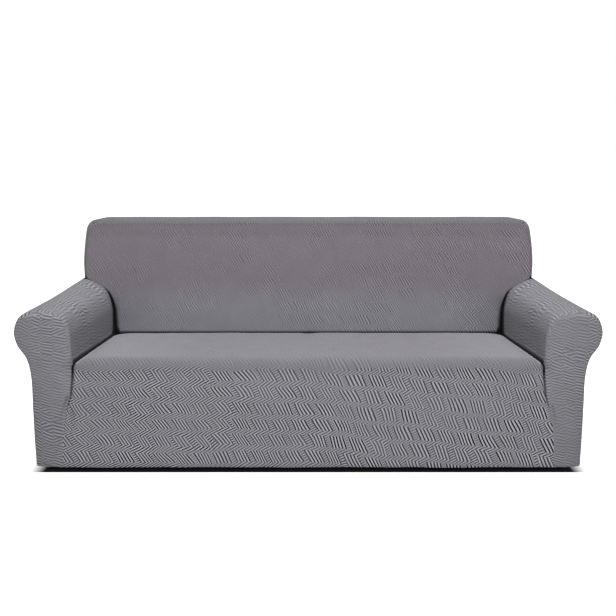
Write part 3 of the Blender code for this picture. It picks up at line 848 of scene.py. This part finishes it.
# ---- cutting the panels out of it ----
class PanelShell:
    """One panel as a thin closed sheet: its outer face, the same moved in, and its cut edge."""

    def __init__(self, cover, panel, thickness):
        number = PANELS.index(panel)
        self.layers = [cover.loops.layers.uv[name] for name in (KNIT_UV, BAKE_UV)]
        self.faces = [face for face in cover.faces if face.material_index == number]
        verts = sorted({vert for face in self.faces for vert in face.verts}, key=lambda vert: vert.index)
        self.place = {vert: order for order, vert in enumerate(verts)}
        self.points = [vert.co for vert in verts]
        self.points += [vert.co - vert.normal * thickness for vert in verts]
        shadow_layer = cover.verts.layers.float[SHADOW]
        self.shadow = [vert[shadow_layer] for vert in verts] * 2
        self.polygons, self.knit, self.bake = [], [], []
        for face in self.faces:
            self.add_face(face)
        rim = [loop for face in self.faces for loop in face.loops if self.on_edge(loop, number)]
        for order, loop in enumerate(rim):
            self.add_rim(loop, order / len(rim), (order + 1) / len(rim))

    def on_edge(self, loop, number):
        return sum(face.material_index == number for face in loop.edge.link_faces) == 1

    def add_face(self, face):
        inner = len(self.place)
        knit, bake = ([loop[layer].uv[:] for loop in face.loops] for layer in self.layers)
        corners = [self.place[vert] for vert in face.verts]
        self.polygons.append(corners)
        self.knit += knit
        self.bake += bake
        self.polygons.append([inner + corner for corner in reversed(corners)])
        self.knit += reversed(knit)
        self.bake += [(u, mix(BAKE_INNER, 1.0, v / BAKE_OUTER)) for u, v in reversed(bake)]

    def add_rim(self, loop, low, high):
        start, end = self.place[loop.vert], self.place[loop.link_loop_next.vert]
        inner = len(self.place)
        self.polygons.append([end, start, inner + start, inner + end])
        here, there = loop[self.layers[0]].uv[:], loop.link_loop_next[self.layers[0]].uv[:]
        self.knit += [there, here, here, there]
        self.bake += [(high, BAKE_RIM[1]), (low, BAKE_RIM[1]), (low, BAKE_RIM[0]), (high, BAKE_RIM[0])]

    def mesh(self, name):
        mesh = bpy.data.meshes.new(name)
        mesh.from_pydata(self.points, [], self.polygons)
        for layer, places in ((KNIT_UV, self.knit), (BAKE_UV, self.bake)):
            uvs = mesh.uv_layers.new(name=layer)
            uvs.data.foreach_set("uv", np.array(places, dtype=np.float32).ravel())
        mesh.uv_layers[KNIT_UV].active_render = True
        shadow = mesh.attributes.new(SHADOW, "FLOAT", "POINT")
        shadow.data.foreach_set("value", np.array(self.shadow, dtype=np.float32))
        return mesh


# What the record calls each panel's finish, and what the panel was cut to before it was stretched on
Cut = namedtuple("Cut", "slot width length area rests_on")


def add_panel(panel, material):
    """One panel of the cover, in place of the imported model's own."""
    mesh = PanelShell(sewn_cover(), panel, bpy.context.scene.slipcover_cloth.thickness).mesh(f"{panel}_cloth")
    mesh.materials.append(material)
    mesh.shade_smooth()
    mesh.set_sharp_from_angle(angle=SHARP)
    piece = bpy.data.objects.new(f"{panel}_cloth", mesh)
    bpy.context.scene.collection.objects.link(piece)
    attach(piece, "root")
    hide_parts(panel)
    return piece


# ---- the knit ----
def linear(code):
    """An sRGB hex colour as linear red, green and blue."""
    parts = [int(code[start:start + 2], 16) / 255 for start in (1, 3, 5)]
    return tuple(part / 12.92 if part <= 0.04045 else ((part + 0.055) / 1.055) ** 2.4 for part in parts)


def add_node(tree, kind, inputs=(), **settings):
    """A node's first output, once the node has its settings and what goes into it: for each input, in
    order or by name, another node's output or a plain value."""
    node = tree.nodes.new("ShaderNode" + kind)
    for name, value in settings.items():
        setattr(node, name, value)
    for name, source in inputs.items() if isinstance(inputs, dict) else enumerate(inputs):
        if isinstance(source, bpy.types.NodeSocket):
            tree.links.new(source, node.inputs[name])
        else:
            node.inputs[name].default_value = source
    return node.outputs[0]


# How the knit lies on a panel: the width and height of a repeat; how far the steep ribs run to the right
# for each metre down; half the width of a block of them, at least and at most, and half its height, as
# shares of the repeat; the slope of the shallow ribs and the distance between them; how strongly both
# kinds show; how much of it all is left in the faintest places and where the cloth is taut; and how far
# the rows of blocks sag towards the right.  The other pairs are for the left and the right.  On an arm,
# left to right runs up its inside wall from the seat.
Lie = namedtuple("Lie", "across down lean half high slope fine steep shallow faint taut droop",
                 defaults=(1.0, 0.0))
LIES = {
    "seat": Lie(across=0.0780, down=0.0635, lean=(0.78, 0.42), half=(0.32, 0.42), high=(0.30, 0.37),
                slope=0.55, fine=0.0104, steep=(0.95, 1.02), shallow=(1.20, 0.75), faint=0.80,
                taut=0.30, droop=0.08),
    "back": Lie(across=0.0710, down=0.0560, lean=(-0.60, -0.60), half=(0.28, 0.42), high=(0.35, 0.35),
                slope=-0.95, fine=0.0115, steep=(0.34, 0.50), shallow=(0.30, 0.42), faint=0.35),
    "arm": Lie(across=0.0800, down=0.0600, lean=(0.10, 0.10), half=(0.30, 0.42), high=(0.40, 0.40),
               slope=0.30, fine=0.0110, steep=(-0.62, 0.60), shallow=(-0.50, 0.50), faint=0.45),
    "arm_front": Lie(across=0.0690, down=0.0450, lean=(0.30, 0.30), half=(0.25, 0.42), high=(0.40, 0.40),
                     slope=3.70, fine=0.0426, steep=(0.56, 0.50), shallow=(0.48, 0.42), faint=0.50),
}
RIBS = 6                      # steep ribs in the width of a repeat
RIB_FLANK = (0.14, 0.34)      # a rib rises from its groove between these shares of its width
BLOCK_SOFT = 0.03             # how softly a block of ribs ends
LEFT_RIGHT = (-0.50, 0.20)    # between these places the left's values turn into the right's
ROW_SHIFT = 0.42              # each row of blocks is shifted by this share of a repeat
SKIRT_MIDDLE = -0.82          # the ribs' lean is counted from this height
DROOP = (0.0, 0.90)           # between these places the rows of blocks sag towards the right
STEEP_VARIES = (0.7, 1.0)     # the ribs of one block are clearer than those of the next
SHALLOW_VARIES = (1.0, 0.25)
FAINT_SCALE = 4.0             # in some places, about 250 mm apart, the knit is fainter
FAINT_CLOUD = (0.42, 0.58)
SEAT_TAUT = (-0.643, -0.634)  # the knit is taut from the seat's front edge back
SETTLES = (-1.0, -0.64)       # the knit shows more clearly further down the skirt
SETTLED = (1.10, 0.90)
STRETCH_SCALE = 6.0           # the cloth is stretched more in one place than in another, by about 5 mm
STRETCH = (0.042, 0.036, 0.0)
FUZZ_SCALE = 260.0            # loops and fuzz under 1 mm are too fine to show, so are drawn 3 to 4 mm across
FUZZ_HEIGHT = 0.0004
PATCH_SCALE = 14.0            # broad faint patches in the cloth's tone
PATCH = (0.96, 1.04)
CLOUD = (0.25, 0.75)          # a noise seldom leaves these limits
DEEP_FOLD = 0.01              # what is left of the tone under the deepest painted shade in a fold
TURNS_WARM = (-0.40, -0.28)   # between these heights the cloth turns from a paler grey, painted light, to warmer grey


def ribs(tree, counted):
    """Rounded ribs: 1 on top of each and -1 in the grooves, which lie at whole numbers."""
    wave = add_node(tree, "Math", (counted, 0.5), operation="PINGPONG")
    return add_node(tree, "MapRange", (wave, *RIB_FLANK, -1.0, 1.0), interpolation_type="SMOOTHSTEP")


def within(tree, counted, half):
    """1 nearer than half to the middle of each repeat, which is one wide, and 0 further off."""
    near = add_node(tree, "Math", (counted, 0.5), operation="PINGPONG")
    over = add_node(tree, "Math", (near, half), operation="ADD")
    return add_node(tree, "MapRange", (over, 0.5 - BLOCK_SOFT, 0.5 + BLOCK_SOFT),
                    interpolation_type="SMOOTHSTEP")


def block_ribs(tree, place, lie):
    """Height, from -1 to 1, of a knit with rows of blocks of steep ribs, and shallow ribs between them."""
    sideways, upwards, _ = add_node(tree, "SeparateXYZ", (place,)).node.outputs

    def to_right(pair):
        return add_node(tree, "MapRange", (sideways, *LEFT_RIGHT, *pair))

    def ribs_where(counted, often, part, varied):
        wave = ribs(tree, add_node(tree, "Math", (counted, often), operation="MULTIPLY"))
        shown = add_node(tree, "Math", (part, varied), operation="MULTIPLY")
        return add_node(tree, "Math", (wave, shown), operation="MULTIPLY")

    above = add_node(tree, "Math", (upwards, SKIRT_MIDDLE), operation="SUBTRACT")
    slid = add_node(tree, "Math", (above, to_right(lie.lean), sideways), operation="MULTIPLY_ADD")
    droop = add_node(tree, "MapRange", (sideways, *DROOP, 0.0, lie.droop))
    level = add_node(tree, "Math", (upwards, droop), operation="ADD")
    row = add_node(tree, "Math", (level, 1 / lie.down), operation="MULTIPLY")
    whole_row = add_node(tree, "Math", (row,), operation="FLOOR")
    stagger = add_node(tree, "Math", (whole_row, ROW_SHIFT), operation="MULTIPLY")
    column = add_node(tree, "Math", (slid, 1 / lie.across, stagger), operation="MULTIPLY_ADD")
    cells = [add_node(tree, "Math", (count,), operation="FLOOR") for count in (column, row)]
    cell = add_node(tree, "CombineXYZ", cells)
    chance = add_node(tree, "TexWhiteNoise", {"Vector": cell}, noise_dimensions="2D")
    half, clear, clear_between = (add_node(tree, "MapRange", (chance, 0.0, 1.0, *ends))
                                  for ends in (lie.half, STEEP_VARIES, SHALLOW_VARIES))
    in_column = within(tree, column, half)
    in_row = within(tree, row, to_right(lie.high))
    block = add_node(tree, "Math", (in_column, in_row), operation="MULTIPLY")
    between = add_node(tree, "Math", (1.0, block), operation="SUBTRACT")
    risen = add_node(tree, "Math", (sideways, -lie.slope, upwards), operation="MULTIPLY_ADD")
    steep = ribs_where(column, RIBS, block, clear)
    shallow = ribs_where(risen, 1 / lie.fine, between, clear_between)
    steep = add_node(tree, "Math", (steep, to_right(lie.steep)), operation="MULTIPLY")
    shallow = add_node(tree, "Math", (shallow, to_right(lie.shallow)), operation="MULTIPLY")
    height = add_node(tree, "Math", (steep, shallow), operation="ADD")
    cloud = add_node(tree, "TexNoise", {"Vector": place, "Scale": FAINT_SCALE, "Detail": 1.0})
    seen = add_node(tree, "MapRange", (cloud, *FAINT_CLOUD, lie.faint, 1.0), interpolation_type="SMOOTHSTEP")
    height = add_node(tree, "Math", (height, seen), operation="MULTIPLY")
    taut = add_node(tree, "MapRange", (upwards, *SEAT_TAUT, 1.0, lie.taut))
    settled = add_node(tree, "MapRange", (upwards, *SETTLES, *SETTLED))
    height = add_node(tree, "Math", (height, taut), operation="MULTIPLY")
    return add_node(tree, "Math", (height, settled), operation="MULTIPLY")


def jacquard_knit(name, colour, lie, low=None):
    """Polyester and elastane double knit, knitted on a jacquard machine in blocks of fine ribs.

    The eye sees soft matt ribs, paler on top and dark between, in part the knit's two tones and in part
    painted light on the ridges and painted shade in the grooves, which stretch unevenly over the sofa, and a
    faintly speckled, slightly fuzzy face where light grazes it."""
    cloth = bpy.context.scene.slipcover_cloth
    material = bpy.data.materials.new(name)
    material.use_nodes = True
    tree = material.node_tree
    shader = tree.nodes["Principled BSDF"]
    place = add_node(tree, "UVMap", uv_map=KNIT_UV)
    drift = add_node(tree, "TexNoise", {"Vector": place, "Scale": STRETCH_SCALE, "Detail": 1.0}).node
    centred = add_node(tree, "VectorMath", (drift.outputs["Color"], (0.5, 0.5, 0.5)), operation="SUBTRACT")
    pulled = add_node(tree, "VectorMath", (centred, STRETCH, place), operation="MULTIPLY_ADD")
    rib = block_ribs(tree, pulled, lie)
    fuzz = add_node(tree, "TexNoise", {"Vector": place, "Scale": FUZZ_SCALE, "Detail": 2.0})
    cloud = add_node(tree, "TexNoise", {"Vector": place, "Scale": PATCH_SCALE, "Detail": 3.0})
    speckle = add_node(tree, "MapRange", (fuzz, *CLOUD, 1 - cloth.speckle, 1 + cloth.speckle))
    patch = add_node(tree, "MapRange", (cloud, *CLOUD, *PATCH))
    # the ribs' tone: in part the knit's own pattern, in part painted light on the ridges and painted shade in
    # the grooves
    shade = add_node(tree, "MapRange", (rib, -1.0, 1.0, 1 - cloth.rib_contrast, 1 + cloth.rib_contrast))
    # painted shade deep in the folds, where the cloth is pushed in, and where it turns from the lamps
    painted_shade = add_node(tree, "Attribute", attribute_name=SHADOW).node.outputs["Fac"]
    dim = add_node(tree, "MapRange", (painted_shade, 0.0, 1.0, 1.0, DEEP_FOLD), clamp=False)
    tone = add_node(tree, "Math", (speckle, patch), operation="MULTIPLY")
    for other in (shade, dim):
        tone = add_node(tree, "Math", (tone, other), operation="MULTIPLY")
    colour_and_light = tuple(colour)
    # painted light: low on the backrest, near the seat, the cloth's colour is paler as well as greyer
    if low:
        here = add_node(tree, "TexCoord").node.outputs["Object"]
        up = add_node(tree, "SeparateXYZ", (here,)).node.outputs["Z"]
        up = add_node(tree, "MapRange", (up, *TURNS_WARM))
        mixed = {0: up, 6: (*low, 1.0), 7: (*colour, 1.0)}
        colour_and_light = add_node(tree, "Mix", mixed, data_type="RGBA").node.outputs[2]
    # the cloth's colour, times its tone with the painted shade and painted highlight
    colour_with_shade = add_node(tree, "VectorMath", {0: colour_and_light, "Scale": tone}, operation="SCALE")
    raised = add_node(tree, "Math", (rib, cloth.relief / 2), operation="MULTIPLY")
    height = add_node(tree, "Math", (fuzz, FUZZ_HEIGHT, raised), operation="MULTIPLY_ADD")
    bump = add_node(tree, "Bump", {"Height": height, "Distance": 1.0})
    tree.links.new(colour_with_shade, shader.inputs["Base Color"])
    tree.links.new(bump, shader.inputs["Normal"])
    shader.inputs["Roughness"].default_value = 0.92
    shader.inputs["Specular IOR Level"].default_value = 0.12
    shader.inputs["Sheen Weight"].default_value = 0.03
    shader.inputs["Sheen Roughness"].default_value = 0.6
    return material


# ---- the studio ----
FLOOR_SIZE = 80.0
BASE_HALF = (1.097, 0.443)   # painted shadow: the floor is painted dark under the sofa, where no light comes
BASE_SOFT = (0.069, 0.008)
BASE_MIDDLE_Y = -0.3435
PAINT_GRAIN = 30.0
PAINT_TONE = (0.97, 1.0)
# a lamp: its place, what it shines at, and its size
Lamp = namedtuple("Lamp", "place target size")
OVERHEAD = Lamp((0.0, -0.6, 4.2), (0.0, -0.45, -0.5), (3.0, 3.0))
FRONT = Lamp((0.3, -4.8, 0.9), (0.0, -0.5, -0.6), (3.0, 2.0))
CAMERA_PLACE = (0.0, -4.178, 0.194)
CAMERA_LENS = 51.21
CAMERA_SHIFT = (-0.0004, -0.2144)
SENSOR_WIDTH = 36.0
VIEW_DEPTH = 200.0


def painted_floor(colour, glow):
    """Matt white studio paint: even and bright, with a painted shadow only in the unlit gap under the sofa.
    """
    material = bpy.data.materials.new("matt_white_paint")
    material.use_nodes = True
    tree = material.node_tree
    shader = tree.nodes["Principled BSDF"]
    place = add_node(tree, "TexCoord").node.outputs["Object"]
    split = add_node(tree, "SeparateXYZ", (place,)).node.outputs
    gaps = []
    for axis, middle, half, soft in zip(split, (0.0, BASE_MIDDLE_Y), BASE_HALF, BASE_SOFT):
        moved = add_node(tree, "Math", (axis, middle), operation="SUBTRACT")
        far = add_node(tree, "Math", (moved,), operation="ABSOLUTE")
        gaps.append(add_node(tree, "MapRange", (far, half - soft, half)))
    # painted shadow: the paint's colour and glow go dark under the sofa
    open_floor = add_node(tree, "Math", gaps, operation="MAXIMUM")
    grain = add_node(tree, "TexNoise", {"Vector": place, "Scale": PAINT_GRAIN})
    paint = add_node(tree, "MapRange", (grain, 0.0, 1.0, *PAINT_TONE))
    paint = add_node(tree, "Math", (paint, open_floor), operation="MULTIPLY")
    tinted = add_node(tree, "VectorMath", {0: tuple(colour), "Scale": paint}, operation="SCALE")
    seen = add_node(tree, "LightPath").node.outputs["Is Camera Ray"]
    lit = add_node(tree, "Mix", {0: seen, 2: glow, 3: 1.0})
    light = add_node(tree, "Math", (open_floor, lit), operation="MULTIPLY")
    tree.links.new(tinted, shader.inputs["Base Color"])
    tree.links.new(light, shader.inputs["Emission Strength"])
    shader.inputs["Emission Color"].default_value = (1.0, 1.0, 1.0, 1.0)
    shader.inputs["Roughness"].default_value = 0.9
    return material


def add_area_light(name, lamp, power):
    light = bpy.data.lights.new(name, "AREA")
    light.shape = "RECTANGLE"
    light.size, light.size_y = lamp.size
    light.energy = power
    fitting = bpy.data.objects.new(name, light)
    fitting.location = lamp.place
    fitting.rotation_euler = (Vector(lamp.target) - Vector(lamp.place)).to_track_quat("-Z", "Y").to_euler()
    bpy.context.scene.collection.objects.link(fitting)


def white_surroundings(brightness):
    """A world that is plain white to the camera, and lights the cover at a brightness of its own."""
    world = bpy.data.worlds.new("white_surroundings")
    world.use_nodes = True
    tree = world.node_tree
    background = tree.nodes["Background"]
    seen = add_node(tree, "LightPath").node.outputs["Is Camera Ray"]
    bright = add_node(tree, "Mix", {0: seen, 2: brightness, 3: 1.0})
    background.inputs["Color"].default_value = (1.0, 1.0, 1.0, 1.0)
    tree.links.new(bright, background.inputs["Strength"])
    return world


def add_camera():
    camera = bpy.data.cameras.new("camera")
    camera.sensor_width = SENSOR_WIDTH
    camera.lens = CAMERA_LENS
    camera.shift_x, camera.shift_y = CAMERA_SHIFT
    camera.clip_end = VIEW_DEPTH
    viewer = bpy.data.objects.new("camera", camera)
    viewer.location = CAMERA_PLACE
    viewer.rotation_euler = (radians(90), 0.0, 0.0)
    bpy.context.scene.collection.objects.link(viewer)
    return viewer


# ---- what a user can change ----
class SlipcoverCloth(bpy.types.PropertyGroup):
    """Sizes of the knitted cloth."""
    thickness: FloatProperty(
        name="Thickness", description="Thickness of the knitted cloth",
        default=0.002, min=0.001, max=0.003, unit="LENGTH")
    relief: FloatProperty(
        name="Relief", description="Depth of the grooves between the ribs",
        default=0.0012, min=0.0, max=0.004, unit="LENGTH")
    # the ribs' tone: the knit's pattern, with painted light on the ridges and painted shade in the grooves
    rib_contrast: FloatProperty(
        name="Rib Contrast", description="How much paler the ribs and darker the grooves are",
        default=1.0, min=0.0, max=1.0, subtype="FACTOR")
    speckle: FloatProperty(
        name="Speckle", description="How speckled the cloth's face is",
        default=0.08, min=0.0, max=0.5, subtype="FACTOR")
    slack: FloatProperty(
        name="Slack", description="How far slack cloth stands off its smooth shape",
        default=0.0022, min=0.0, max=0.01, unit="LENGTH")
    seam_depth: FloatProperty(
        name="Seam Depth", description="How deep the cloth is drawn in along its seams",
        default=0.0015, min=0.0, max=0.004, unit="LENGTH")
    pucker: FloatProperty(
        name="Pucker", description="Height of the small gathers beside the seams",
        default=0.0006, min=0.0, max=0.003, unit="LENGTH")
    hem_wave: FloatProperty(
        name="Hem Wave", description="How far the hem waves in and out at the sides and the rear",
        default=0.0040, min=0.0, max=0.02, unit="LENGTH")


class SlipcoverColours(bpy.types.PropertyGroup):
    """Colours of the cloth, which differ a little with the way that each panel's face lies."""
    seat: FloatVectorProperty(
        name="Seat", description="Cloth of the seat and skirt",
        default=linear("#757479"), subtype="COLOR", min=0.0, max=1.0)
    back: FloatVectorProperty(
        name="Back", description="Cloth of the backrest",
        default=linear("#746D74"), subtype="COLOR", min=0.0, max=1.0)
    # painted light: the backrest's cloth near the seat is paler, as well as greyer
    back_low: FloatVectorProperty(
        name="Backrest, Low", description="Cloth of the backrest near the seat",
        default=linear("#7A797F"), subtype="COLOR", min=0.0, max=1.0)
    band: FloatVectorProperty(
        name="Band", description="Cloth of the band over the backrest's top",
        default=linear("#717177"), subtype="COLOR", min=0.0, max=1.0)
    arm: FloatVectorProperty(
        name="Arm", description="Cloth of the arms",
        default=linear("#747378"), subtype="COLOR", min=0.0, max=1.0)


class SlipcoverStage(bpy.types.PropertyGroup):
    """The studio around the slipcover."""
    floor: FloatVectorProperty(
        name="Floor", description="Paint of the floor",
        default=linear("#D2D2D2"), subtype="COLOR", min=0.0, max=1.0)
    floor_glow: FloatProperty(
        name="Floor Glow", description="Light that comes from under the floor's white sheet",
        default=0.05, min=0.0, max=2.0)
    surroundings: FloatProperty(
        name="Surroundings", description="Brightness of the white surroundings",
        default=0.32, min=0.0, max=2.0)
    overhead: FloatProperty(
        name="Overhead Light", description="Power of the large soft light overhead",
        default=260.0, min=0.0, unit="POWER")
    front: FloatProperty(
        name="Front Light", description="Power of the soft light beside the camera",
        default=120.0, min=0.0, unit="POWER")


# ---- operators ----
class SLIPCOVER_OT_seat_and_skirt(bpy.types.Operator):
    """Lay the seat and its skirt, one length of cloth from the backrest over the seat to the hem"""
    bl_idname = "slipcover.seat_and_skirt"
    bl_label = "Seat and Skirt"
    bl_options = {"REGISTER", "UNDO"}

    def execute(self, context):
        colour = context.scene.slipcover_colours.seat
        add_panel("seat_and_skirt", jacquard_knit("jacquard_knit_seat", colour, LIES["seat"]))
        return {"FINISHED"}


class SLIPCOVER_OT_backrest(bpy.types.Operator):
    """Lay the backrest's face, its rear, and the band over its top and down its ends"""
    bl_idname = "slipcover.backrest"
    bl_label = "Backrest"
    bl_options = {"REGISTER", "UNDO"}

    def execute(self, context):
        colours = context.scene.slipcover_colours
        face = jacquard_knit("jacquard_knit_back", colours.back, LIES["back"], colours.back_low)
        band = jacquard_knit("jacquard_knit_band", colours.band, LIES["back"])
        for panel, knit in (("inside_back", face), ("back_band", band), ("back_end_right", band),
                            ("back_end_left", band), ("outside_back", band)):
            add_panel(panel, knit)
        return {"FINISHED"}


class SLIPCOVER_OT_arms(bpy.types.Operator):
    """Lay both arms, each a panel over its roll and a shaped front"""
    bl_idname = "slipcover.arms"
    bl_label = "Arms"
    bl_options = {"REGISTER", "UNDO"}

    def execute(self, context):
        colour = context.scene.slipcover_colours.arm
        over = jacquard_knit("jacquard_knit_arm", colour, LIES["arm"])
        front = jacquard_knit("jacquard_knit_arm_front", colour, LIES["arm_front"])
        for side in ("right", "left"):
            add_panel(f"arm_panel_{side}", over)
            add_panel(f"arm_front_{side}", front)
        return {"FINISHED"}


class SLIPCOVER_OT_stage(bpy.types.Operator):
    """Set up a white floor, soft light and a camera straight in front"""
    bl_idname = "slipcover.stage"
    bl_label = "Stage"
    bl_options = {"REGISTER", "UNDO"}

    def execute(self, context):
        scene = context.scene
        stage = scene.slipcover_stage
        bpy.ops.object.select_all(action="DESELECT")
        bpy.ops.mesh.primitive_plane_add(size=FLOOR_SIZE, location=(0.0, 0.0, -ORIGIN.z))
        floor = context.active_object
        floor.name = "studio_floor"
        bpy.ops.object.transform_apply(location=True, rotation=False, scale=False)
        floor.data.materials.append(painted_floor(stage.floor, stage.floor_glow))
        add_area_light("overhead", OVERHEAD, stage.overhead)
        add_area_light("front", FRONT, stage.front)
        scene.world = white_surroundings(stage.surroundings)
        scene.view_settings.view_transform = "Standard"
        scene.camera = add_camera()
        return {"FINISHED"}


class SLIPCOVER_PT_panel(bpy.types.Panel):
    """Lists the slipcover's sizes, colours and steps"""
    bl_idname = "SLIPCOVER_PT_panel"
    bl_label = "Sofa Slipcover"
    bl_space_type = "VIEW_3D"
    bl_region_type = "UI"
    bl_category = "Slipcover"

    def draw(self, context):
        layout = self.layout
        for name in SETTINGS:
            group = getattr(context.scene, name)
            for setting in group.bl_rna.properties.keys():
                if setting not in ("rna_type", "name"):
                    layout.prop(group, setting)
        for step in STEPS:
            layout.operator(step.bl_idname)


SETTINGS = {"slipcover_cloth": SlipcoverCloth, "slipcover_colours": SlipcoverColours,
            "slipcover_stage": SlipcoverStage}
STEPS = (SLIPCOVER_OT_seat_and_skirt, SLIPCOVER_OT_backrest, SLIPCOVER_OT_arms, SLIPCOVER_OT_stage)


def register():
    for name, group in SETTINGS.items():
        bpy.utils.register_class(group)
        setattr(bpy.types.Scene, name, PointerProperty(type=group))
    for kind in STEPS + (SLIPCOVER_PT_panel,):
        bpy.utils.register_class(kind)


def unregister():
    for kind in reversed(STEPS + (SLIPCOVER_PT_panel,)):
        bpy.utils.unregister_class(kind)
    for name, group in SETTINGS.items():
        delattr(bpy.types.Scene, name)
        bpy.utils.unregister_class(group)


def main():
    register()
    bpy.ops.slipcover.seat_and_skirt()
    bpy.ops.slipcover.backrest()
    bpy.ops.slipcover.arms()
    bpy.ops.slipcover.stage()


if __name__ == "__main__":
    main()
